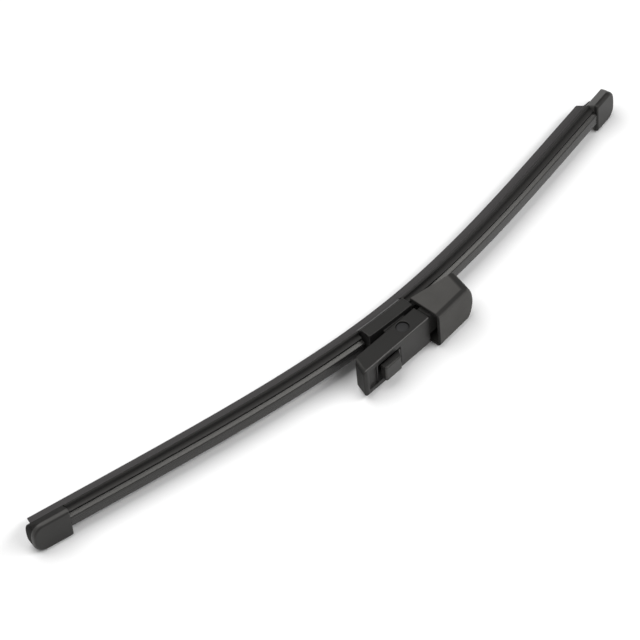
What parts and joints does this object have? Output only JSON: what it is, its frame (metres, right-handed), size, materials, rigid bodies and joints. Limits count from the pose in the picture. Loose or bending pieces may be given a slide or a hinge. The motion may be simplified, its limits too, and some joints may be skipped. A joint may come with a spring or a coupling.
{
  "type": "rear wiper blade",
  "caption": "Bowed flat wiper blade with a ridged spoiler, wiping lip, end caps and a swinging arm adapter with hood and release button.",
  "frame": {"origin": "on the pivot axis of the arm adapter, in the middle of the blade's width", "axes": "+X along the blade at the pivot, towards the hood; +Y towards the glass; +Z across the blade, along the pivot axis, so the blade lies on its side"},
  "size_m": [0.2848, 0.0434, 0.0162],
  "materials": {
    "wiping_rubber": "matt coated black",
    "spring_steel": "dark phosphated",
    "spoiler_rubber": "satin extruded black",
    "base_plastic": "satin moulded black",
    "pin_steel": "blackened",
    "adapter_plastic": "satin moulded black",
    "cap_plastic": "satin moulded black"
  },
  "bodies": {
    "blade": {"wiper_rubber": "wiping_rubber", "spring_rail_upper": "spring_steel", "spring_rail_lower": "spring_steel", "spoiler_near": "spoiler_rubber", "spoiler_far": "spoiler_rubber", "connector_base": "base_plastic", "pivot_pin": "pin_steel", "end_cap_near": "cap_plastic", "end_cap_far": "cap_plastic"},
    "adapter": {"arm_adapter": "adapter_plastic"},
    "latch": {"latch_button": "adapter_plastic"}
  },
  "joints": [
    {"name": "adapter_pivot", "type": "hinge", "parent": "blade", "child": "adapter", "pos_m": [0, 0, 0], "axis": [0, 0, 1], "range_deg": [-10, 4]},
    {"name": "latch_press", "type": "hinge", "parent": "adapter", "child": "latch", "pos_m": [-0.00619, -0.00408, 0], "axis": [0, 0, -1], "range_deg": [0, 9], "stiffness_Nm_per_rad": 0.1}
  ]
}
